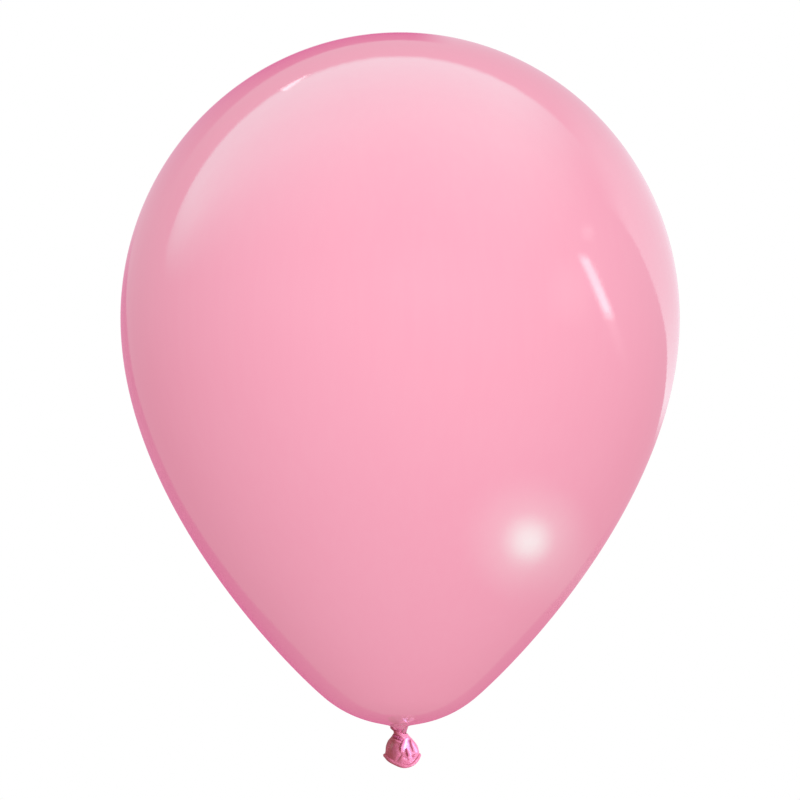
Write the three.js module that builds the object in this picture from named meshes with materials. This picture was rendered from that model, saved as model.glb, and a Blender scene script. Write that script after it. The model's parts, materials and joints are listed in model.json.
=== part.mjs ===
// A tied party balloon: one dipped latex skin, blown up, closed by an overhand knot in its own neck.
// The skin is divided where its form changes, so that the parts that twist and bend can move:
//   envelope      the thin inflated skin
//   neck_funnel   where the skin gathers into the neck
//   neck_waist    the pinched rope of latex that a ribbon is tied round
//   knot_loop     the turn of neck that is wound round
//   knot_strand   the end of the neck pulled through that turn
//   tail_skirt    the loose end below the knot, flattened and flared
//   rolled_bead   the rolled rim of the mouth
// Millimetres, +Z up along the balloon's axis, origin in the middle of the waist.
import * as THREE from "three";

// ---- Driving dimensions ----
const bodyRadius = 140; // a nominal 11 inch round, 280 mm across
const crownHeight = 143; // equator to crown, a slightly tall half-ellipse
const bodyDrop = 204.2; // equator to the lowest point of the skin
const capRadius = 58.5; // the rounded underside
const capHalfAngle = THREE.MathUtils.degToRad(39.3); // where the underside meets the flank
const equatorPull = 94; // how far the flank runs on straight down from the equator
const flankPull = 19.4; // and how far it runs straight into the underside
const skinWall = 0.15; // thicker than inflated latex, so that it stays a sound solid
const skinBottom = 3.3; // the underside's lowest point, above the waist's middle
const gap = 0.3; // between pieces that meet

const neckHole = 5.2; // radius where the skin ends and the funnel begins
const funnelFoot = 1.4; // height of the funnel's foot
const funnelWall = 0.6; // its thickness there
const funnelDome = 4.2; // height of its closed top
const waistRadius = 3.1; // the waist's rounded top turns inside the funnel
const waistFoot = -1.2; // height where the waist meets the knot
const waistFlare = 4.2; // and its radius there

const knotCentre = -4.3; // height of the wound turn
const knotTurnRadius = 4.1; // axis to the middle of the wound latex
const knotHalfWidth = 2.0; // half the wound latex, across
const knotHalfHeight = 2.2; // and along the axis
const knotTilt = THREE.MathUtils.degToRad(8); // the turn runs down to the right
const strandRadius = 1.5;

const tailPivot = -7.0; // height where the tail bends below the knot
const tailLean = THREE.MathUtils.degToRad(4); // the tail hangs a little to the right
const skirtDrop = 5.2; // from the pivot down to the rim's two ends
const skirtShoulder = 5.8; // radius of the skirt's shoulder
const shoulderDrop = 2.4; // and how far below the pivot it is
const skirtWall = 0.5;
const mouthRadius = 8.65; // middle of the bead, across the wide way
const mouthFlatness = 0.55; // the mouth's narrow way over its wide way
const mouthDroop = 4.6; // how far the rim's front and back hang below its two ends
const beadRadius = 1.0;

// ---- Mesh fineness ----
const skinSegments = 48;
const skinRows = [4, 12, 12]; // underside, flank, crown
const smallSegments = 24;
const smallSteps = 4;
const loopSteps = 16;
const beadSegments = 12;

// ---- Materials ----
const stretchedLatex = new THREE.MeshStandardMaterial({ color: 0xfcadc3, roughness: 0.22, metalness: 0 });
const relaxedLatex = new THREE.MeshStandardMaterial({ color: 0xdb7aa0, roughness: 0.34, metalness: 0 });

// ---- Helpers ----
// Turns an outline of (radius, height) points about Z. It runs from the lowest point outwards and up.
function turned(points, segments) {
  return new THREE.LatheGeometry(points, segments).rotateX(Math.PI / 2);
}

// The same outline moved inwards by a distance. Its last point is on the axis and stays there.
function offsetInward(points, distance) {
  const last = points.length - 1;
  return points.map((point, i) => {
    if (i === last) return new THREE.Vector2(0, point.y - distance);
    const before = points[Math.max(i - 1, 0)];
    const along = points[i + 1].clone().sub(before).normalize();
    return new THREE.Vector2(point.x - along.y * distance, point.y + along.x * distance);
  });
}

// Moves every vertex of a geometry by a rule.
function reshape(geometry, rule) {
  const position = geometry.getAttribute("position");
  const vertex = new THREE.Vector3();
  for (let i = 0; i < position.count; i++) {
    vertex.fromBufferAttribute(position, i);
    rule(vertex);
    position.setXYZ(i, vertex.x, vertex.y, vertex.z);
  }
  return geometry;
}

function piece(name, geometry, material) {
  const mesh = new THREE.Mesh(geometry, material);
  mesh.name = name;
  return mesh;
}

// ---- The inflated skin ----
function makeEnvelope() {
  const equator = skinBottom + bodyDrop;
  const capCentre = skinBottom + capRadius;
  const holeAngle = Math.asin(neckHole / capRadius);
  const joinRadius = capRadius * Math.sin(capHalfAngle);
  const joinHeight = capCentre - capRadius * Math.cos(capHalfAngle);
  const outline = new THREE.Path();
  outline.absarc(0, capCentre, capRadius, holeAngle - Math.PI / 2, capHalfAngle - Math.PI / 2, false);
  outline.bezierCurveTo(
    joinRadius + flankPull * Math.cos(capHalfAngle),
    joinHeight + flankPull * Math.sin(capHalfAngle),
    bodyRadius,
    equator - equatorPull,
    bodyRadius,
    equator,
  );
  outline.absellipse(0, equator, bodyRadius, crownHeight, 0, Math.PI / 2, false);
  const outer = [outline.getPoint(0)];
  outline.curves.forEach((curve, i) => outer.push(...curve.getPoints(skinRows[i]).slice(1)));
  outer.at(-1).x = 0;
  const inner = offsetInward(outer, skinWall).reverse();
  return piece("envelope", turned([...outer, ...inner, outer[0]], skinSegments), stretchedLatex);
}

// ---- The neck ----
// A plug of gathered latex that fills the skin's hole, with a round socket under it for the waist.
function makeNeckFunnel() {
  const socketRadius = waistRadius + gap;
  const footAngle = Math.asin(funnelFoot / socketRadius);
  const footRadius = socketRadius * Math.cos(footAngle) + funnelWall;
  const lipRadius = neckHole - gap;
  const outline = new THREE.Path();
  outline.absarc(0, 0, socketRadius, Math.PI / 2, footAngle, true);
  outline.lineTo(footRadius, funnelFoot);
  outline.quadraticCurveTo(footRadius, skinBottom - gap, lipRadius, skinBottom + gap / 2);
  outline.quadraticCurveTo(lipRadius, funnelDome, 0, funnelDome);
  return piece("neck_funnel", turned(outline.getPoints(smallSteps), smallSegments), relaxedLatex);
}

function makeNeckWaist() {
  const outline = new THREE.Path();
  outline.moveTo(0, waistFoot);
  outline.lineTo(waistFlare, waistFoot);
  outline.quadraticCurveTo(waistRadius, waistFoot, waistRadius, 0);
  outline.absarc(0, 0, waistRadius, 0, Math.PI / 2, false);
  return piece("neck_waist", turned(outline.getPoints(smallSteps), smallSegments), relaxedLatex);
}

// ---- The knot ----
function makeKnotLoop() {
  const section = new THREE.EllipseCurve(knotTurnRadius, 0, knotHalfWidth, knotHalfHeight);
  const loop = piece("knot_loop", turned(section.getPoints(loopSteps), smallSegments), relaxedLatex);
  loop.position.z = knotCentre;
  loop.rotation.y = knotTilt;
  return loop;
}

function makeKnotStrand() {
  const top = waistFoot - gap;
  const foot = tailPivot + gap;
  const outline = new THREE.Path();
  outline.absarc(0, foot + strandRadius, strandRadius, -Math.PI / 2, 0, false);
  outline.absarc(0, top - strandRadius, strandRadius, 0, Math.PI / 2, false);
  return piece("knot_strand", turned(outline.getPoints(smallSteps), smallSegments), relaxedLatex);
}

// ---- The tail ----
// Flattens and droops a round shape that hangs from the tail's pivot. Depth is 0 at its top, 1 at its rim.
function flattenToMouth(vertex, depth) {
  const angle = Math.atan2(vertex.y, vertex.x);
  const share = THREE.MathUtils.smoothstep(depth, 0, 1);
  vertex.y *= 1 - (1 - mouthFlatness) * share;
  vertex.z -= mouthDroop * share * Math.sin(angle) ** 2;
}

function makeTailSkirt() {
  const rimRadius = mouthRadius;
  const rimHeight = beadRadius + gap - skirtDrop;
  const outline = new THREE.Path();
  outline.moveTo(0, -gap - strandRadius);
  outline.lineTo(skirtShoulder - skirtWall, -shoulderDrop - skirtWall);
  outline.lineTo(rimRadius - skirtWall, rimHeight);
  outline.lineTo(rimRadius, rimHeight);
  outline.quadraticCurveTo(skirtShoulder + 1, -shoulderDrop, skirtShoulder - 1, -shoulderDrop + skirtWall);
  outline.quadraticCurveTo(strandRadius, -gap, 0, -gap);
  const geometry = turned(outline.getPoints(smallSteps), smallSegments);
  return piece("tail_skirt", reshape(geometry, (v) => flattenToMouth(v, v.z / rimHeight)), relaxedLatex);
}

function makeRolledBead() {
  const ring = new THREE.TorusGeometry(mouthRadius, beadRadius, beadSegments, smallSegments);
  const geometry = reshape(ring, (vertex) => {
    const middle = new THREE.Vector3(vertex.x, vertex.y, 0).setLength(mouthRadius);
    const offset = vertex.clone().sub(middle);
    flattenToMouth(middle, 1);
    vertex.addVectors(middle, offset);
    vertex.z -= skirtDrop;
  });
  return piece("rolled_bead", geometry, relaxedLatex);
}

function makeTail() {
  const tail = new THREE.Group();
  tail.position.z = tailPivot;
  tail.rotation.y = -tailLean;
  tail.add(makeTailSkirt(), makeRolledBead());
  return tail;
}

const balloon = new THREE.Group();
balloon.add(makeEnvelope(), makeNeckFunnel(), makeNeckWaist(), makeKnotLoop(), makeKnotStrand(), makeTail());

export default balloon;
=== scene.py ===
"""A tied pink latex balloon, held up by its neck above a pale floor.

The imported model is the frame: it gives the body's size, the joints and their places. Every visible piece
replaces the plain solid that it stands for. The skin and the neck are one thin shell, which ends round the
pleated waist. The knot is the neck wound round itself, and the tail is a folded skirt that ends in the
rolled rim.
"""
import json
import math

import bpy
import numpy as np
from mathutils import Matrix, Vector


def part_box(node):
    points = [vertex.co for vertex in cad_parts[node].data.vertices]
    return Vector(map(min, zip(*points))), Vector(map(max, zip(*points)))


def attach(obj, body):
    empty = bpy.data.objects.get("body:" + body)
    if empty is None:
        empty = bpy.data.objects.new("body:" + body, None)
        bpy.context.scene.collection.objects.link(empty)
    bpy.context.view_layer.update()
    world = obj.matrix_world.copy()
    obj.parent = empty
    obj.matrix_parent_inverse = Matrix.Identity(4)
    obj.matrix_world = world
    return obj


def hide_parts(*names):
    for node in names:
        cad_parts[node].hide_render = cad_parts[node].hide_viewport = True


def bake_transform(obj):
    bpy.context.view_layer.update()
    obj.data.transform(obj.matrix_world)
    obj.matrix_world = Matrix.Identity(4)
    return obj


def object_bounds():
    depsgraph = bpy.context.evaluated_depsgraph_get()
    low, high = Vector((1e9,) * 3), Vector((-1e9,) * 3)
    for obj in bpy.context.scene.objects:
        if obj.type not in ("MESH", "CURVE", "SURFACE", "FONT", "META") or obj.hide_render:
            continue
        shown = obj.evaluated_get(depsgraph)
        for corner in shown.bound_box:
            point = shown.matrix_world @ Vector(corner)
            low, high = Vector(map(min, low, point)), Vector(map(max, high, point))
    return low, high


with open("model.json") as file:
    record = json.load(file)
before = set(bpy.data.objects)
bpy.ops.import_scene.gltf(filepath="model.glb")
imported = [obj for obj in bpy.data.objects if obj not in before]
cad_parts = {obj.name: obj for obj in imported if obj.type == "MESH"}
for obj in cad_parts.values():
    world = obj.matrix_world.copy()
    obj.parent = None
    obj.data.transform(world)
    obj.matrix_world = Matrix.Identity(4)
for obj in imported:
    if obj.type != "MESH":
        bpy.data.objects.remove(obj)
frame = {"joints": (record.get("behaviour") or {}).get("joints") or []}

cad_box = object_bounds()
MM = 0.001
TURN = 2 * math.pi

# ---- The body, in metres, from the frame ----
skin_low, skin_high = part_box("envelope")
BODY_RADIUS = (skin_high.x - skin_low.x) / 2
CROWN_HEIGHT = 143 * MM
EQUATOR = skin_high.z - CROWN_HEIGHT
SKIN_BOTTOM = 3.3 * MM
CAP_RADIUS = 58.5 * MM
CAP_HALF_ANGLE = math.radians(39.3)
EQUATOR_PULL = 94 * MM
FLANK_PULL = 19.4 * MM
SKIN_WALL = 0.12 * MM

# ---- The neck ----
THROAT_RADIUS = 6.4 * MM      # where the rounded underside turns down into the neck
NECK_TOP = (4.05 * MM, 2.5 * MM)
NECK_WAIST = (2.65 * MM, 0.3 * MM)
NECK_END = (2.2 * MM, -0.8 * MM)      # turned in behind the knot's first turn
NECK_LEAN = 0.35 * MM         # how far the waist sits to the right of the axis
NECK_SLANT = 0.85 * MM        # how far the neck comes back to the left above the waist
FOLDED_BELOW = 5 * MM         # the neck's folds are cut off above this
PLEAT_REACH = 14 * MM         # how far out the gathers fade away
PLEAT_DEPTH = 0.28 * MM
WAIST_TOP = 0.5               # the waist's heights and radii are in millimetres
WAIST_END = -2.6
WAIST_DEPTHS = [-0.5, 0.4, 1.2, 2.6]
WAIST_RADII = [2.4, 2.4, 1.9, 1.3]
WAIST_PLEATS = 0.2 * MM

# ---- The joints' places ----
joint_place = {j["name"]: Vector(j["pos_m"]) for j in frame["joints"]}
TAIL_PIVOT = joint_place["tail_flex"].z


# ---- Curves ----
def bezier(p0, p1, p2, p3, steps):
    """Points on a cubic Bezier curve, as an array of (radius, height)."""
    t = np.linspace(0, 1, steps + 1)[:, None]
    p0, p1, p2, p3 = (np.array(p, float) for p in (p0, p1, p2, p3))
    return (1 - t) ** 3 * p0 + 3 * t * (1 - t) ** 2 * p1 + 3 * t ** 2 * (1 - t) * p2 + t ** 3 * p3


def ellipse_arc(centre, radius, height, start, end, steps):
    """Points on an elliptical arc about the axis, as an array of (radius, height)."""
    a = np.linspace(start, end, steps + 1)
    return np.stack([radius * np.cos(a), centre + height * np.sin(a)], axis=1)


def smooth(x, low, high):
    """0 below low, 1 above high, and an S-curve between them."""
    t = np.clip((x - low) / (high - low), 0, 1)
    return t * t * (3 - 2 * t)


def through(x, places, values):
    """A smooth curve through a few points, taken at x."""
    places, values = np.array(places, float), np.array(values, float)
    slopes = np.gradient(values, places)
    i = np.clip(np.searchsorted(places, x, side="right") - 1, 0, len(places) - 2)
    span = places[i + 1] - places[i]
    t = np.clip((x - places[i]) / span, 0, 1)
    before = (1 + 2 * t) * (1 - t) ** 2 * values[i] + t * (1 - t) ** 2 * span * slopes[i]
    after = t ** 2 * (3 - 2 * t) * values[i + 1] - t ** 2 * (1 - t) * span * slopes[i + 1]
    return before + after


# ---- Meshes ----
def surface_normals(rings):
    """Unit normals of a grid of points whose rows are closed rings, pointing away from the axis."""
    along = np.gradient(rings, axis=0)
    around = (np.roll(rings, -1, axis=1) - np.roll(rings, 1, axis=1)) / 2
    normals = np.cross(around, along)
    length = np.linalg.norm(normals, axis=2, keepdims=True)
    return normals / np.maximum(length, 1e-12)


def make_object(name, vertices, faces, material):
    mesh = bpy.data.meshes.new(name)
    mesh.from_pydata([tuple(v) for v in vertices], [], faces)
    mesh.polygons.foreach_set("use_smooth", [True] * len(mesh.polygons))
    mesh.materials.append(material)
    mesh.update()
    obj = bpy.data.objects.new(name, mesh)
    bpy.context.scene.collection.objects.link(obj)
    return obj


def set_layer(obj, name, values):
    """A number for each vertex, which the materials read by its name."""
    layer = obj.data.attributes.new(name, "FLOAT", "POINT")
    layer.data.foreach_set("value", np.asarray(values, np.float32).ravel())


def band_faces(first, second, count):
    """Quads between two rings of vertices, given by their first numbers."""
    quads = []
    for i in range(count):
        after = (i + 1) % count
        quads.append((first + i, second + i, second + after, first + after))
    return quads


def thin_shell(name, rings, wall, material, stand, pole=None):
    """A closed thin-walled shell. Its rings run downwards; with a pole, it is closed over the first ring.

    The stand, in metres, is how far each point stands out of the plain shape, and is kept as a layer; the
    materials read it for painted shade in the creases and, on the tail, paler ridges that are partly
    painted highlight.
    """
    rows, count = rings.shape[:2]
    inner = rings - surface_normals(rings) * wall
    vertices = np.concatenate([rings.reshape(-1, 3), inner.reshape(-1, 3)])
    inside = rows * count
    faces = []
    for row in range(rows - 1):
        faces += band_faces(row * count, (row + 1) * count, count)
        faces += band_faces(inside + (row + 1) * count, inside + row * count, count)
    faces += band_faces((rows - 1) * count, inside + (rows - 1) * count, count)
    if pole is None:
        faces += band_faces(inside, 0, count)
    else:
        top = len(vertices)
        vertices = np.concatenate([vertices, [pole, pole - np.array([0, 0, wall])]])
        for i in range(count):
            after = (i + 1) % count
            faces += [(top, i, after), (top + 1, inside + after, inside + i)]
    shell = make_object(name, vertices, faces, material)
    layer = np.zeros(len(vertices))
    layer[:2 * inside] = np.tile(stand.ravel() / MM, 2)
    set_layer(shell, "stand", layer)
    return shell


def swept_tube(name, path, radii, section, material, closed):
    """A tube along a path of points. section(angle, share) gives its relative radius round and along it."""
    path = np.array(path, float)
    count = 40
    if closed:
        tangents = np.roll(path, -1, axis=0) - np.roll(path, 1, axis=0)
    else:
        tangents = np.gradient(path, axis=0)
    tangents /= np.linalg.norm(tangents, axis=1, keepdims=True)
    sides = outward_sides(path, tangents)
    ups = np.cross(tangents, sides)
    angles = np.arange(count) * TURN / count
    shares = np.linspace(0, 1, len(path))
    reach = section(angles[None, :], shares[:, None]) * np.array(radii)[:, None]
    rings = (path[:, None, :] + sides[:, None, :] * (reach * np.cos(angles))[:, :, None]
             + ups[:, None, :] * (reach * np.sin(angles))[:, :, None])
    vertices = rings.reshape(-1, 3)
    faces = []
    rows = len(path)
    for row in range(rows if closed else rows - 1):
        faces += band_faces(row * count, (row + 1) % rows * count, count)
    if not closed:
        ends = [path[0], path[-1]]
        vertices = np.concatenate([vertices, ends])
        for i in range(count):
            after = (i + 1) % count
            faces += [(rows * count, i, after)]
            faces += [(rows * count + 1, (rows - 1) * count + after, (rows - 1) * count + i)]
    tube = make_object(name, vertices, faces, material)
    layer = np.zeros(len(vertices))
    layer[:rows * count] = (reach - np.array(radii)[:, None]).ravel() / MM
    set_layer(tube, "stand", layer)
    return tube


def outward_sides(path, tangents):
    """For each point of a path, the direction square to it that points away from the path's middle."""
    away = path - path.mean(axis=0)
    away -= tangents * (away * tangents).sum(axis=1, keepdims=True)
    return away / np.linalg.norm(away, axis=1, keepdims=True)


# ---- Materials ----
class Nodes:
    """A material's node tree, with short calls for adding and joining its nodes."""

    def __init__(self, name):
        self.material = bpy.data.materials.new(name)
        self.material.use_nodes = True
        self.tree = self.material.node_tree
        self.shader = self.tree.nodes["Principled BSDF"]

    def add(self, kind, settings=(), **inputs):
        node = self.tree.nodes.new("ShaderNode" + kind)
        for key, value in dict(settings).items():
            setattr(node, key, value)
        for key, value in inputs.items():
            self.set(node, key.replace("_", " "), value)
        return node

    def set(self, node, socket, value):
        if isinstance(value, bpy.types.NodeSocket):
            self.tree.links.new(value, node.inputs[socket])
        else:
            node.inputs[socket].default_value = value

    def layer(self, name):
        """A number that the mesh keeps for each vertex."""
        return self.add("Attribute", {"attribute_name": name}).outputs["Fac"]

    def noise(self, place, scale, detail=2):
        return self.add("TexNoise", Vector=place, Scale=scale, Detail=detail).outputs["Fac"]

    def ramp(self, value, low, high, start=0, end=1):
        """A value moved from the range low to high into the range start to end, and kept inside it."""
        span = {"From_Min": low, "From_Max": high, "To_Min": start, "To_Max": end}
        node = self.add("MapRange", {"interpolation_type": "SMOOTHSTEP"}, Value=value, **span)
        return node.outputs["Result"]

    def mix(self, share, first, second):
        node = self.add("Mix", {"data_type": "RGBA"}, Factor=share)
        for socket, value in ((6, first), (7, second)):
            self.set(node, socket, value if isinstance(value, bpy.types.NodeSocket) else (*value, 1))
        return node.outputs[2]

    def stretched(self, place, scale):
        return self.add("Mapping", Vector=place, Scale=scale).outputs["Vector"]

    def bump(self, height, distance, strength, under=None):
        node = self.add("Bump", Height=height, Distance=distance, Strength=strength)
        if under is not None:
            self.set(node, "Normal", under)
        return node.outputs["Normal"]


def stretched_skin():
    """The blown-up skin: tight, glossy and even, and deeper where it is thicker, at the crown and neck,
    with painted shade in the neck's creases.
    """
    nodes = Nodes("stretched_latex")
    place = nodes.add("TexCoord").outputs["Object"]
    height = nodes.add("SeparateXYZ", Vector=place).outputs["Z"]
    cloudy = nodes.ramp(nodes.noise(place, 14, 3), 0.3, 0.75, 0, 0.16)
    streaks = nodes.ramp(nodes.noise(nodes.stretched(place, (240, 240, 9)), 1, 4), 0.35, 0.7, 0, 0.14)
    colour = nodes.mix(cloudy, (0.952, 0.375, 0.505), (0.93, 0.33, 0.46))
    colour = nodes.mix(streaks, colour, (0.955, 0.41, 0.53))
    underside = nodes.ramp(height, 0.30 * EQUATOR, 0.02 * EQUATOR, 0, 0.2)
    colour = nodes.mix(underside, colour, (0.90, 0.29, 0.42))
    crown = nodes.ramp(height, skin_high.z - 3 * MM, skin_high.z, 0, 0.8)
    colour = nodes.mix(crown, colour, (0.88, 0.24, 0.38))
    neck = nodes.ramp(height, 4.5 * MM, 0.5 * MM, 0, 0.85)
    colour = nodes.mix(neck, colour, (0.74, 0.19, 0.37))
    # painted shade: where the surface sinks into a crease or pleat, the colour goes dark red
    painted_crease_shade = nodes.ramp(nodes.layer("stand"), -0.2, -0.5, 0, 0.95)
    colour = nodes.mix(painted_crease_shade, colour, (0.34, 0.05, 0.09))
    gloss = nodes.ramp(nodes.noise(place, 60, 4), 0.3, 0.7, 0.05, 0.085)
    pores = nodes.bump(nodes.noise(place, 1400, 2), 0.02 * MM, 0.25)
    waves = nodes.bump(nodes.noise(nodes.stretched(place, (60, 60, 18)), 1, 2), 0.15 * MM, 0.12, pores)
    for socket, value in (("Base Color", colour), ("Roughness", gloss), ("Normal", waves), ("IOR", 1.5)):
        nodes.set(nodes.shader, socket, value)
    return nodes.material


def relaxed_tail():
    """The slack latex of the knot, skirt and rim: deeper rose; its raised folds are paler, partly as
    thinner stretched latex and partly as painted highlight, and its creases carry painted shade.
    """
    nodes = Nodes("relaxed_latex")
    place = nodes.add("TexCoord").outputs["Object"]
    thickness = nodes.ramp(nodes.noise(place, 260, 4), 0.3, 0.72)
    colour = nodes.mix(thickness, (0.42, 0.08, 0.095), (0.36, 0.06, 0.075))
    specks = nodes.ramp(nodes.noise(place, 1900, 3), 0.55, 0.8, 0, 0.5)
    colour = nodes.mix(specks, colour, (0.58, 0.15, 0.24))
    stand = nodes.layer("stand")
    # paler on raised folds: partly thinner stretched latex, partly painted highlight
    ridge_stretch_and_highlight = nodes.ramp(stand, 0.15, 1.1, 0, 0.8)
    colour = nodes.mix(ridge_stretch_and_highlight, colour, (0.76, 0.36, 0.50))
    # painted shade: the creases go almost black-red
    painted_crease_shade = nodes.ramp(stand, -0.1, -0.9, 0, 0.8)
    colour = nodes.mix(painted_crease_shade, colour, (0.26, 0.03, 0.06))
    gloss = nodes.ramp(nodes.noise(place, 420, 3), 0.3, 0.7, 0.24, 0.38)
    creases = nodes.bump(nodes.noise(nodes.stretched(place, (700, 700, 260)), 1, 4), 0.1 * MM, 0.25)
    grain = nodes.bump(nodes.noise(place, 3800, 2), 0.02 * MM, 0.25, creases)
    for socket, value in (("Base Color", colour), ("Roughness", gloss), ("Normal", grain), ("IOR", 1.52)):
        nodes.set(nodes.shader, socket, value)
    return nodes.material


skin_latex = stretched_skin()
tail_latex = relaxed_tail()


# ---- The skin and the neck ----
def skin_profile():
    """(radius, height) from just off the crown down to the neck's end inside the knot."""
    cap_centre = SKIN_BOTTOM + CAP_RADIUS
    cosine, sine = math.cos(CAP_HALF_ANGLE), math.sin(CAP_HALF_ANGLE)
    join = np.array([CAP_RADIUS * sine, cap_centre - CAP_RADIUS * cosine])
    along = np.array([cosine, sine])
    throat_angle = math.asin(THROAT_RADIUS / CAP_RADIUS)
    throat = np.array([THROAT_RADIUS, cap_centre - CAP_RADIUS * math.cos(throat_angle)])
    crown = ellipse_arc(EQUATOR, BODY_RADIUS, CROWN_HEIGHT, math.pi / 2, 0, 70)[1:]
    flank = bezier((BODY_RADIUS, EQUATOR), (BODY_RADIUS, EQUATOR - EQUATOR_PULL),
                   join + along * FLANK_PULL, join, 70)[1:]
    cap = ellipse_arc(cap_centre, CAP_RADIUS, CAP_RADIUS, CAP_HALF_ANGLE - math.pi / 2,
                      throat_angle - math.pi / 2, 40)[1:]
    turn = bezier(throat, throat - np.array([1.0, 0.15]) * MM,
                  (NECK_TOP[0] + 0.4 * MM, NECK_TOP[1] + 0.8 * MM), NECK_TOP, 24)[1:]
    neck = bezier(NECK_TOP, (NECK_TOP[0] - 0.5 * MM, NECK_TOP[1] - 1.0 * MM),
                  (NECK_WAIST[0] + 0.1 * MM, NECK_WAIST[1] + 0.7 * MM), NECK_WAIST, 16)[1:]
    tuck = bezier(NECK_WAIST, (NECK_WAIST[0], 0),
                  (NECK_END[0] + 0.3 * MM, NECK_END[1]), NECK_END, 8)[1:]
    return np.concatenate([crown, flank, cap, turn, neck, tuck])


def gathers(angle):
    """How deep the pleats are round the axis, from 0 on a ridge to about 1 in a valley."""
    wander = 0.5 * np.sin(angle + 0.4) + 0.3 * np.sin(2 * angle + 2)
    coarse = 1 - np.abs(np.sin(4.5 * (angle + 0.2 * wander)))
    fine = 1 - np.abs(np.sin(9.5 * angle + 1.1 + wander))
    return 0.75 * coarse + 0.35 * fine


def make_skin():
    """One shell from the crown to the waist, with pleats and folds where the neck is gathered."""
    profile = skin_profile()
    angles = np.arange(288) * TURN / 288
    radius, height = profile[:, 0][:, None], profile[:, 1][:, None]
    lean = NECK_LEAN - NECK_SLANT * smooth(height, 0.2 * MM, 3.2 * MM)
    lean *= 1 - smooth(height, 3 * MM, 4 * MM)
    x = radius * np.cos(angles) + lean
    rings = np.stack([x, radius * np.sin(angles), height + 0 * angles], axis=2)
    near_neck = (height < EQUATOR - 100 * MM) * (1 - smooth(radius, NECK_TOP[0], PLEAT_REACH)) ** 2
    depth = PLEAT_DEPTH * near_neck * gathers(angles)[None, :]
    stand = folds(rings, NECK_FOLDS) * (height < FOLDED_BELOW) - depth
    rings = rings + surface_normals(rings) * stand[:, :, None]
    crown = np.array([0, 0, skin_high.z])
    skin = thin_shell("envelope_skin", rings, SKIN_WALL, skin_latex, stand, pole=crown)
    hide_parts("envelope", "neck_funnel")
    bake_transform(skin)
    return skin


def make_waist():
    """The narrow waist inside the knot's first turn."""
    height = np.linspace(WAIST_TOP, WAIST_END, 32)[:, None]
    angles = (np.arange(120) * TURN / 120)[None, :]
    radius = through(-height[:, 0], WAIST_DEPTHS, WAIST_RADII)[:, None] * MM
    stand = -WAIST_PLEATS * gathers(angles + 0 * height)
    x = (radius + stand) * np.cos(angles) + NECK_LEAN
    y = (radius + stand) * np.sin(angles)
    rings = np.stack([x, y, height * MM + 0 * angles], axis=2)
    waist = thin_shell("neck_waist_pleats", rings, SKIN_WALL, tail_latex, stand)
    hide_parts("neck_waist")
    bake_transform(waist)
    return waist


# ---- Folds ----
# Each fold is a ridge, or a crease where its height is negative, along a Bezier curve seen from the front:
# its four points as (across, up), its height and its half width, in millimetres.
NECK_FOLDS = [
    ([(-4.6, 3.2), (-3.8, 2.4), (-2.9, 1.5), (-1.7, 0.2)], -0.65, 0.65),
    ([(-3.2, 3.0), (-2.4, 2.2), (-1.4, 1.2), (0.2, 0.0)], 0.5, 0.6),
    ([(2.6, 2.8), (1.9, 1.8), (1.2, 0.8), (0.4, -0.6)], -0.3, 0.4),
]
FRONT_FOLDS = [
    ([(-3.6, -1.9), (-1.8, -2.7), (0.0, -3.7), (1.6, -4.9)], -1.2, 0.6),
    ([(-3.2, -3.4), (-4.6, -5.2), (-5.6, -8.0), (-5.4, -12.0)], 0.3, 0.7),
    ([(-6.0, -6.6), (-6.4, -8.2), (-6.5, -9.8), (-6.3, -11.6)], -0.25, 0.4),
    ([(4.7, -1.8), (3.2, -4.6), (2.3, -7.4), (3.0, -11.2)], 0.9, 1.6),
    ([(2.7, -3.2), (1.1, -5.4), (0.2, -7.6), (0.8, -10.8)], -0.8, 0.5),
    ([(3.2, -7.8), (3.5, -9.2), (4.0, -10.6), (4.1, -13.0)], -0.9, 0.45),
    ([(5.0, -4.0), (4.7, -7.0), (5.1, -10.6), (6.3, -13.6)], 0.4, 1.2),
    ([(5.4, -11.6), (6.0, -13.4), (7.8, -13.6), (8.7, -11.4)], 0.5, 0.5),
    ([(5.1, -3.6), (5.7, -6.6), (6.5, -8.8), (7.2, -10.8)], -0.6, 0.3),
    ([(6.9, -11.2), (7.1, -11.7), (7.2, -12.1), (7.4, -12.6)], -0.5, 0.6),
    ([(5.9, -4.0), (7.2, -7.2), (8.3, -9.4), (8.9, -12.0)], 0.5, 0.9),
    ([(0.9, -9.6), (0.6, -11.4), (-0.6, -13.2), (-2.4, -15.2)], 0.35, 0.7),
    ([(1.6, -12.2), (2.4, -13.2), (3.4, -13.6), (4.6, -13.4)], 0.4, 0.6),
]
BACK_FOLDS = [
    ([(-4.4, -3.2), (-5.6, -5.8), (-6.4, -8.4), (-6.0, -12.0)], 0.5, 0.7),
    ([(-2.2, -3.0), (-2.6, -6.0), (-3.6, -9.2), (-3.4, -13.0)], -0.7, 0.6),
    ([(-0.6, -3.0), (-0.9, -6.2), (-1.6, -9.6), (-1.0, -14.0)], 0.7, 0.75),
    ([(0.9, -3.0), (1.5, -5.6), (1.0, -8.8), (2.2, -12.6)], -0.6, 0.5),
    ([(2.4, -3.2), (3.6, -6.0), (4.2, -9.0), (3.8, -12.8)], 0.6, 0.7),
    ([(4.2, -3.4), (5.6, -6.0), (6.4, -8.6), (6.0, -12.2)], -0.5, 0.5),
]


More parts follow.
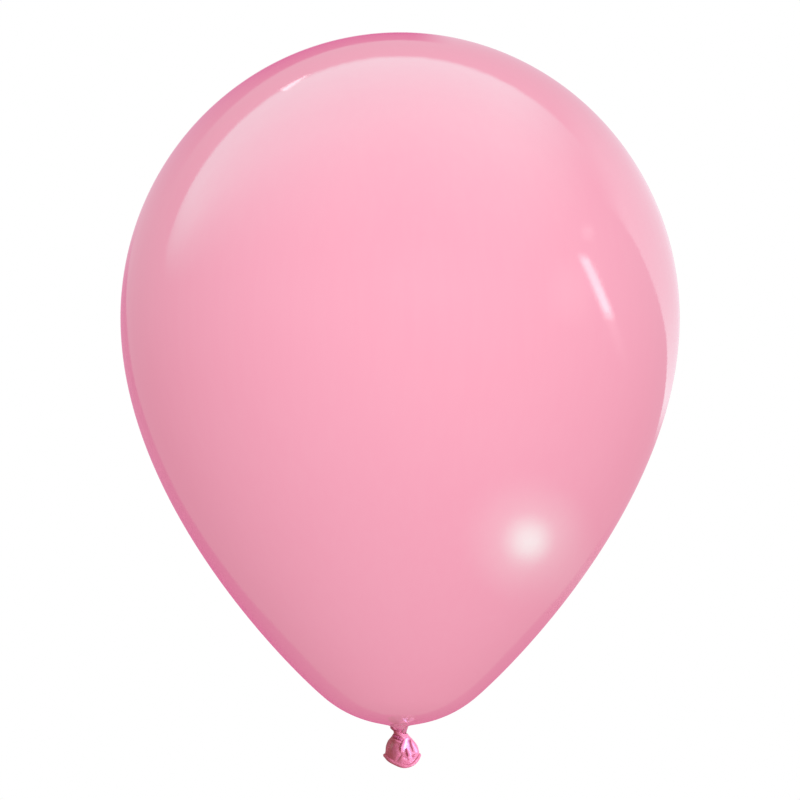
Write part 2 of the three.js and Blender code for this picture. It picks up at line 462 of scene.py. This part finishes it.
def folds(points, routes):
    """How far a sheet stands out at each of its points, for folds along these routes."""
    x, z = points[..., 0] / MM, points[..., 2] / MM
    height = np.zeros(x.shape)
    steps = 16
    for route, peak, width in routes:
        path = bezier(*route, steps)
        nearest = np.full(x.shape, np.inf)
        along = np.zeros(x.shape)
        for i in range(steps):
            step = path[i + 1] - path[i]
            part = np.clip(((x - path[i][0]) * step[0] + (z - path[i][1]) * step[1]) / (step @ step), 0, 1)
            away = np.hypot(x - path[i][0] - part * step[0], z - path[i][1] - part * step[1])
            along = np.where(away < nearest, (i + part) / steps, along)
            nearest = np.minimum(nearest, away)
        ends = smooth(along, 0, 0.25) * smooth(1 - along, 0, 0.3)
        height += peak * ends * np.exp(-(nearest / width) ** 2)
    facing = smooth(-points[..., 1], 0, 1.5 * MM)
    return height * facing * MM


# ---- The tail ----
# Heights, widths and depths are in millimetres here, and the skirt's form is given by its left, right
# and front reach at a few distances below the waist.
SKIRT_TOP = -1.0
SKIRT_SIDE = -11.8            # the rim's height at its left and right ends
FRONT_DROOP = 5.0             # how much lower than that the rim hangs at the front
BACK_DROOP = 4.2
RIGHT_DROOP = 1.5             # how much lower still it hangs on the right than on the left
END_ROUNDING = 0.05           # a plain share: it rounds the rim's turn at its left and right ends
RIM_POWER = 0.65              # below 1, so the rim falls most steeply near those ends
SIDE_DEPTHS = [1, 2.5, 4.8, 7.3, 10, 11.8]
SKIRT_LEFT = [3.05, 3.9, 5.8, 6.8, 7.1, 7.5]
SKIRT_RIGHT = [3.45, 4.6, 6.7, 8.5, 9.3, 9.5]
FRONT_DEPTHS = [1, 3, 5, 7, 9, 11.8]
SKIRT_FRONT = [2.9, 3.3, 4.4, 5.4, 5.5, 5.0]
SKIRT_WALL = 0.25 * MM
PANEL_DENT = 0.4 * MM         # the hollow of the smooth panel at the front left; through the stand layer it also gets painted shade
SKIRT_PLEATS = 0.2 * MM


def tail_points(share, angle):
    """The skirt's surface, before its folds, from inside the knot (share 0) to the rolled rim (share 1).

    Its front left is a nearly flat panel, so there the section is closer to a diamond than to an ellipse.
    """
    side = SKIRT_TOP + (SKIRT_SIDE - SKIRT_TOP) * share
    left = through(-side, SIDE_DEPTHS, SKIRT_LEFT)
    right = through(-side, SIDE_DEPTHS, SKIRT_RIGHT)
    front = through(-side, FRONT_DEPTHS, SKIRT_FRONT)
    apex = 1.2 * smooth(share, 0.1, 0.5)
    cosine, sine = np.cos(angle), np.sin(angle)
    across = apex + np.where(cosine < 0, left + apex, right - apex) * cosine
    panel = 0.72 * smooth(share, 0.1, 0.5) * (1 - 0.5 * share)
    flat = np.where((cosine < 0) & (sine < 0), 2 - panel, 2)
    deep = (1 - np.abs(cosine) ** flat) ** (1 / flat) * np.sign(sine)
    steep = (sine ** 2 + END_ROUNDING) ** RIM_POWER - END_ROUNDING ** RIM_POWER
    steep /= (1 + END_ROUNDING) ** RIM_POWER - END_ROUNDING ** RIM_POWER
    droop = (np.where(sine < 0, FRONT_DROOP, BACK_DROOP) + RIGHT_DROOP * cosine) * steep
    return np.stack([across, front * deep, side - droop * share ** 1.6], axis=-1) * MM


def make_skirt():
    """The flared skirt, with its folds and pleats."""
    shares = np.linspace(0, 1, 150)[:, None]
    angles = (np.arange(320) * TURN / 320)[None, :]
    rings = tail_points(shares + 0 * angles, angles + 0 * shares)
    panel = np.hypot((rings[..., 0] / MM + 2.6) / 3.7, (rings[..., 2] / MM + 9.4) / 4.8)
    stand = folds(rings, FRONT_FOLDS) + folds(rings * [1, -1, 1], BACK_FOLDS)
    stand -= PANEL_DENT * (1 - smooth(panel, 0.2, 1)) * (rings[..., 1] < 0)
    pleats = gathers(angles + 0.9 + 0.6 * np.sin(2 * shares))
    stand -= SKIRT_PLEATS * pleats * (1 - smooth(shares, 0.25, 0.85))
    stand *= 1 - smooth(shares, 0.9, 1)
    rings += surface_normals(rings) * stand[..., None]
    skirt = thin_shell("tail_skirt_folds", rings, SKIRT_WALL, tail_latex, stand)
    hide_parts("tail_skirt", "knot_strand")
    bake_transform(skirt)
    return skirt


def make_bead():
    """The rolled rim all the way round the skirt's edge, a little uneven in thickness."""
    angles = np.arange(200) * TURN / 200
    path = tail_points(np.ones(200), angles)
    radius = (1 + 0.06 * np.sin(3 * angles + 1) + 0.04 * np.sin(7 * angles)) * MM
    bead = swept_tube("rolled_bead_rim", path, radius, lambda a, s: 1 + 0.04 * np.cos(2 * a + 6 * TURN * s),
                      tail_latex, True)
    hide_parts("rolled_bead")
    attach(bead, "tail")
    return bead


# ---- The knot ----
# The rope's radius about the axis, in millimetres, at these degrees round it. The front is at 270 and 630.
ROPE_TURNED = [40, 100, 165, 300, 420, 540, 600, 635, 755]
ROPE_RADIUS = [1.3, 1.9, 2.1, 2.75, 3.0, 3.1, 3.75, 3.6, 1.0]
ROPE_TOP = 165                # its highest place, on the left; from here it winds down, 1 mm in 90 degrees
ROPE_TILT = 0.26              # how far it falls for each millimetre to the right


def rope_section(angle, share):
    """The rope is a bundle of pleats that slowly wind round it."""
    wound = angle + 3 * share + 0.5 * np.sin(19 * share)
    pleats = 0.10 * np.abs(np.sin(2.5 * wound)) + 0.05 * np.abs(np.sin(5.5 * wound + 1 + 4 * share))
    return 0.92 + pleats


def make_knot():
    """The neck wound round itself: a rope of latex that runs down to the right over the front."""
    turned = np.linspace(ROPE_TURNED[0], ROPE_TURNED[-1], 310)
    angles = np.radians(turned)
    radius = through(turned, ROPE_TURNED, ROPE_RADIUS)
    sag = np.exp(-((turned - 300) / 16) ** 2)
    fall = np.where(turned < ROPE_TOP, 0.4 * (ROPE_TOP - turned) / 125, (turned - ROPE_TOP) / 90)
    height = -0.1 - fall - ROPE_TILT * radius * np.cos(angles) - 0.9 * sag
    path = np.stack([radius * np.cos(angles), radius * np.sin(angles), height], axis=1) * MM
    swell = 0.5 * smooth(turned, 130, 250) + 0.15 * sag
    taper = 0.2 * smooth(turned, 340, 580) + 0.5 * smooth(turned, 665, 755)
    thick = (0.85 + swell - taper) * MM
    knot = swept_tube("knot_turns", path, thick, rope_section, tail_latex, False)
    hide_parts("knot_loop")
    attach(knot, "knot")
    return knot


# ---- Stage ----
SKIN_MIDDLE = Vector((0, 0, EQUATOR))
VIEW_HEIGHT = (cad_box[0][2] + cad_box[1][2]) / 2      # a level view of the middle of the whole balloon
VIEW_WIDTH = 0.4012
VIEW_LENS = 300
VIEW_SENSOR = 36
VIEW_DISTANCE = VIEW_WIDTH * VIEW_LENS / VIEW_SENSOR
TENT_RADIUS = 2.2
FLOOR_HEIGHT = -0.15
FLOOR_RADIUS = 1.1


def emission(name, colour, glow):
    """A material that shines; with glow, the mesh's own glow layer sets how much, from place to place."""
    material = bpy.data.materials.new(name)
    material.use_nodes = True
    nodes, links = material.node_tree.nodes, material.node_tree.links
    nodes.clear()
    shader = nodes.new("ShaderNodeEmission")
    shader.inputs["Color"].default_value = (*colour, 1)
    output = nodes.new("ShaderNodeOutputMaterial")
    if glow:
        layer = nodes.new("ShaderNodeAttribute")
        layer.attribute_name = "glow"
        clear = nodes.new("ShaderNodeBsdfTransparent")
        mix = nodes.new("ShaderNodeMixShader")
        links.new(layer.outputs["Fac"], mix.inputs["Fac"])
        links.new(clear.outputs[0], mix.inputs[1])
        links.new(shader.outputs[0], mix.inputs[2])
        links.new(mix.outputs[0], output.inputs["Surface"])
    else:
        links.new(shader.outputs[0], output.inputs["Surface"])
    return material


def seen_by(obj, *rays):
    """Only these kinds of ray meet the object."""
    for ray in ("camera", "diffuse", "glossy", "transmission", "volume_scatter", "shadow"):
        setattr(obj, f"visible_{ray}", ray in rays)


def make_dome(name, radius, colour, rays, glow=None):
    """A shining ball round the balloon. glow(direction) gives how much of it shows, or it is whole."""
    bpy.ops.mesh.primitive_uv_sphere_add(segments=96, ring_count=48, radius=radius, location=SKIN_MIDDLE)
    dome = bpy.context.object
    dome.name = name
    dome.data.materials.append(emission(name, colour, glow is not None))
    if glow is not None:
        set_layer(dome, "glow", [glow(v.co / radius) for v in dome.data.vertices])
    seen_by(dome, *rays)


def outline(share, inset):
    """Across and up, where a share of the way round the front outline meets a distance inside it.

    The share runs from 0 at the crown down the left side to 0.5 at the neck, and up the right side to 1.
    """
    profile = skin_profile()
    profile = profile[profile[:, 1] > SKIN_BOTTOM + 0.4 * MM]
    side = np.concatenate([profile * [-1, 1], profile[::-1]])
    steps = np.linalg.norm(np.diff(side, axis=0), axis=1)
    travel = np.concatenate([[0], np.cumsum(steps)])
    travel /= travel[-1]
    inward = np.gradient(side, axis=0)[:, ::-1] * [-1, 1]
    inward /= np.linalg.norm(inward, axis=1, keepdims=True)
    place = []
    for axis in (0, 1):
        edge = np.interp(share, travel, side[:, axis])
        place.append(edge + inset * np.interp(share, travel, inward[:, axis]))
    return place[0], place[1]


def skin_radius(height):
    profile = skin_profile()[::-1]
    return np.interp(height, profile[:, 1], profile[:, 0])


def seen_point(x, height):
    """The point of the skin that is seen at x, height on the plane through the balloon's axis."""
    forward = 0
    for _ in range(6):
        nearness = 1 + forward / VIEW_DISTANCE
        px = x * nearness
        pz = VIEW_HEIGHT + (height - VIEW_HEIGHT) * nearness
        radius = skin_radius(pz)
        across = np.clip(px / radius, -0.9995, 0.9995)
        forward = -radius * np.sqrt(1 - across ** 2)
    return np.stack([across * radius, forward, pz], axis=-1)


def mirrored(x, height, reach):
    """Where a light has to be for its reflection to be seen at x, height.

    The reach is the light's distance from the skin's middle.
    """
    point = seen_point(x, height)
    step = 0.5 * MM
    slope = (skin_radius(point[..., 2] + step) - skin_radius(point[..., 2] - step)) / (2 * step)
    radius = skin_radius(point[..., 2])
    normal = np.stack([point[..., 0] / radius, point[..., 1] / radius, -slope], axis=-1)
    normal /= np.linalg.norm(normal, axis=-1, keepdims=True)
    sight = point - np.array([0, -VIEW_DISTANCE, VIEW_HEIGHT])
    sight /= np.linalg.norm(sight, axis=-1, keepdims=True)
    ray = sight - 2 * (sight * normal).sum(axis=-1, keepdims=True) * normal
    start = point - np.array(SKIN_MIDDLE)
    along = (start * ray).sum(axis=-1, keepdims=True)
    distance = np.sqrt(along ** 2 - (start ** 2).sum(axis=-1, keepdims=True) + reach ** 2) - along
    return point + ray * distance


def reflected_light(name, place, glow, colour, layer):
    """A shining card, given by where its reflection is seen. Higher layers hang in front of lower ones."""
    points = mirrored(*place, TENT_RADIUS - 0.05 * layer)
    rows, count = glow.shape
    faces = []
    for row in range(rows - 1):
        for column in range(count - 1):
            first = row * count + column
            faces.append((first, first + 1, first + count + 1, first + count))
    card = make_object(name, points.reshape(-1, 3), faces, emission(name, colour, True))
    set_layer(card, "glow", glow)
    seen_by(card, "glossy")


def grid(rows, columns):
    return np.meshgrid(np.linspace(0, 1, rows), np.linspace(0, 1, columns), indexing="ij")


RIM_ROSE = (0.70, 0.02, 0.27)


def make_rim_cards():
    """Deep rose cards behind the balloon: its darker rim on the left and below, and over the crown."""
    run, inward = grid(140, 14)
    share = 0.165 + 0.56 * run
    height = outline(share, 0)[1]
    width = np.interp(height / MM, [4, 12, 36, 51, 66, 81, 111, 141, 201, 240],
                      [5.2, 7.5, 8.4, 7.9, 6.8, 6.2, 5.2, 4.9, 3.5, 1.5])
    width = (width - 2.6 * smooth(share, 0.49, 0.56)) * MM
    low = 0.7 + 0.36 * (1 - smooth(height, 60 * MM, 150 * MM)) - 0.3 * smooth(share, 0.49, 0.54)
    glow = low * (0.6 + 0.4 * inward) * smooth(1 - inward, 0, 0.12)
    glow *= smooth(run, 0, 0.1) * smooth(1 - run, 0, 0.35)
    reflected_light("lower_rim_card", outline(share, width * inward), glow, RIM_ROSE, 2)

    sweep = np.radians(78 + 84 * run)
    outer = np.stack([BODY_RADIUS * np.cos(sweep), CROWN_HEIGHT * np.sin(sweep)])
    inner = np.stack([129 * MM * np.cos(sweep), 139 * MM * np.sin(sweep)])
    x, z = 0.9995 * outer + (inner - 0.9995 * outer) * inward
    glow = (0.8 + 0.2 * inward) * smooth(1 - inward, 0, 0.12)
    glow *= smooth(run, 0, 0.12) * (1 - smooth(run, 0.4, 1))
    reflected_light("crown_rim_card", (x, EQUATOR + z), glow, RIM_ROSE, 2)


def make_overhead_softbox():
    """A sharp upper edge that runs over the crown, fading towards the front."""
    drop, side = grid(60, 90)
    sweep = np.radians(165 - 130 * side)
    x = 121.5 * MM * np.cos(sweep)
    edge = 131.7 * MM * np.sin(sweep)
    foot = 44 * MM - 0.25 * np.abs(x)
    z = edge + (np.minimum(foot, edge - 5 * MM) - edge) * drop
    lit = np.interp(drop, [0, 0.15, 0.35, 0.6, 0.85, 1], [0.85, 1, 0.9, 0.42, 0.1, 0])
    glow = lit * smooth(drop, 0, 0.02) * smooth(1 - side, 0, 0.25) * smooth(edge, 22 * MM, 75 * MM)
    reflected_light("overhead_softbox", (x, EQUATOR + z), glow, (1.3, 2.9, 2.7), 4)

    along, wide = grid(30, 12)
    sweep = np.radians(119.5 - 8 * along)
    width = 3.4 * (1 - along) * smooth(along, 0, 0.12) * (wide - 0.1)
    x = (121.5 - width) * MM * np.cos(sweep)
    z = (131.7 - width) * MM * np.sin(sweep)
    reflected_light("crown_glint", (x, EQUATOR + z), 0.7 * np.sin(np.pi * wide), (6, 6, 6), 5)


def make_side_softbox():
    """The right-hand softbox, seen along the right edge and widening upwards."""
    rise, out = grid(90, 30)
    z = (-66 + 186 * rise) * MM
    radius = skin_radius(EQUATOR + z)
    kept = np.interp(z / MM, [-66, -40, -20, -10, 10, 28, 38, 46, 58, 75, 90, 105, 120],
                     [0.992, 0.98, 0.965, 0.955, 0.925, 0.89, 0.87, 0.84, 0.79, 0.76, 0.76, 0.8, 0.86])
    x = radius * (kept + (1 - kept) * out)
    sharp = 0.03 + 0.5 * smooth(z, 36 * MM, 70 * MM)
    glow = smooth(rise, 0, 0.15) * smooth(1 - rise, 0, 0.35) * smooth(out, 0, sharp) * (1 - 0.62 * out)
    reflected_light("side_softbox", (x, EQUATOR + z), glow, (1.38, 1.56, 1.6), 3)


# Two weak cards on the right: their middle across and up from the equator, width, height and strength.
SOFT_CARDS = {"soft_card": (85, 13, 26, 38, 0.45), "small_card": (94, 43, 8, 9, 0.8)}


def make_small_lamps():
    """A round lamp low on the right, a strip light seen as a curved streak, and the two soft cards."""
    right, up = grid(50, 50)
    right, up = 2 * right - 1, 2 * up - 1
    away = np.hypot(right, up)
    core = 0.7 * (1 - smooth(away, 0, 0.42))
    halo = 0.34 * (1 - smooth(away, 0.05, 0.98)) * (1 - 0.6 * smooth(right - up, 0, 1))
    place = (63.7 + 38 * right) * MM, EQUATOR + (-111 + 38 * up) * MM
    reflected_light("round_lamp", place, core + halo, (2, 8.3, 6.6), 4)

    along, wide = grid(60, 16)
    z = (33 - 62 * along) * MM
    x = (90.6 + 32 * along - 9 * along ** 2 + 6.5 * (wide - 0.5)) * MM
    tail = 0.1 * smooth(1 - along, 0, 0.5)
    glow = np.sin(np.pi * wide) * smooth(along, 0, 0.08) * np.maximum(1 - smooth(along, 0.44, 0.6), tail)
    reflected_light("strip_light", (x, EQUATOR + z), glow, (7.5, 7.5, 7.5), 4)

    across, up = grid(24, 24)
    glow = np.sin(np.pi * across) * np.sin(np.pi * up)
    for name, (x, z, width, height, strength) in SOFT_CARDS.items():
        place = (x + width * (across - 0.5)) * MM, EQUATOR + (z + height * (up - 0.5)) * MM
        reflected_light(name, place, strength * glow, (2, 2, 2), 5)


def make_floor():
    """A pale floor under the balloon, outside the front view; it fades out to the white backdrop."""
    bpy.ops.mesh.primitive_circle_add(vertices=96, radius=FLOOR_RADIUS, fill_type="NGON",
                                      location=(0, 0, FLOOR_HEIGHT))
    floor = bpy.context.object
    floor.name = "floor"
    nodes = Nodes("pale_floor")
    place = nodes.add("TexCoord").outputs["Object"]
    away = nodes.add("VectorMath", {"operation": "LENGTH"}, Vector=place).outputs["Value"]
    tone = nodes.mix(nodes.noise(place, 3, 4), (0.84, 0.84, 0.85), (0.88, 0.88, 0.88))
    nodes.set(nodes.shader, "Base Color", tone)
    nodes.set(nodes.shader, "Roughness", 0.8)
    nodes.set(nodes.shader, "Emission Color", (1, 1, 1, 1))
    nodes.set(nodes.shader, "Emission Strength", 0.3)
    nodes.set(nodes.shader, "Alpha", nodes.ramp(away, FLOOR_RADIUS, 0.25 * FLOOR_RADIUS))
    floor.data.materials.append(nodes.material)
    seen_by(floor, "camera")


def make_camera():
    data = bpy.data.cameras.new("camera")
    data.sensor_width = VIEW_SENSOR
    data.lens = VIEW_LENS
    camera = bpy.data.objects.new("camera", data)
    bpy.context.scene.collection.objects.link(camera)
    camera.location = (0, -VIEW_DISTANCE, VIEW_HEIGHT)
    camera.rotation_euler = (math.pi / 2, 0, 0)
    bpy.context.scene.camera = camera


def area_light(name, place, target, size, power, colour, lit, glossy=False):
    """A soft round light that shines on these objects only."""
    data = bpy.data.lights.new(name, "AREA")
    data.shape = "DISK"
    data.size = size
    data.energy = power
    data.color = colour
    light = bpy.data.objects.new(name, data)
    bpy.context.scene.collection.objects.link(light)
    light.location = place
    light.rotation_euler = (target - Vector(place)).to_track_quat("-Z", "Y").to_euler()
    light.visible_glossy = glossy
    receivers = bpy.data.collections.new(name + "_receivers")
    for obj in lit:
        receivers.objects.link(obj)
    light.light_linking.receiver_collection = receivers


def make_lights(skin, tail):
    """The keys are the studio's; the back light is straight behind, and only shows from the other sides."""
    pivot = Vector((0, 0, TAIL_PIVOT))
    area_light("key", (0.5, -2.6, 0.8), SKIN_MIDDLE, 1.4, 33, (0.80, 1.05, 0.95), [skin])
    area_light("tail_key", (1.85, -1.1, 0.1), pivot, 2, 150, (0.8, 1.4, 2.2), tail)
    area_light("tail_gleam", (1.3, -1.3, 1.1), pivot, 1.0, 13, (0.6, 1, 1.1), tail, glossy=True)
    area_light("back_light", (0, 3, 0.25), SKIN_MIDDLE, 0.7, 40, (0.9, 1, 0.97), [skin] + tail)
    world = bpy.data.worlds.new("world")
    bpy.context.scene.world = world
    world.use_nodes = True
    world.node_tree.nodes["Background"].inputs["Color"].default_value = (0.97, 0.92, 0.94, 1)
    world.node_tree.nodes["Background"].inputs["Strength"].default_value = 0.745


skin = make_skin()
tail = [make_waist(), make_knot(), make_skirt(), make_bead()]
make_dome("backdrop", 12, (1, 1, 1), ["camera"])
make_dome("tent", TENT_RADIUS + 0.3, (0.78, 0.33, 0.44), ["glossy"])
make_dome("tent_right", TENT_RADIUS + 0.2, (0.96, 0.42, 0.54), ["glossy"],
          lambda way: smooth(way.x, -0.3, 0.6))
make_dome("tent_above", TENT_RADIUS + 0.1, (0.86, 0.62, 0.72), ["glossy"],
          lambda way: smooth(way.z, -0.35, 0.25))
make_rim_cards()
make_overhead_softbox()
make_side_softbox()
make_small_lamps()
make_floor()
make_camera()
make_lights(skin, tail)
bpy.context.scene.view_settings.view_transform = "Standard"
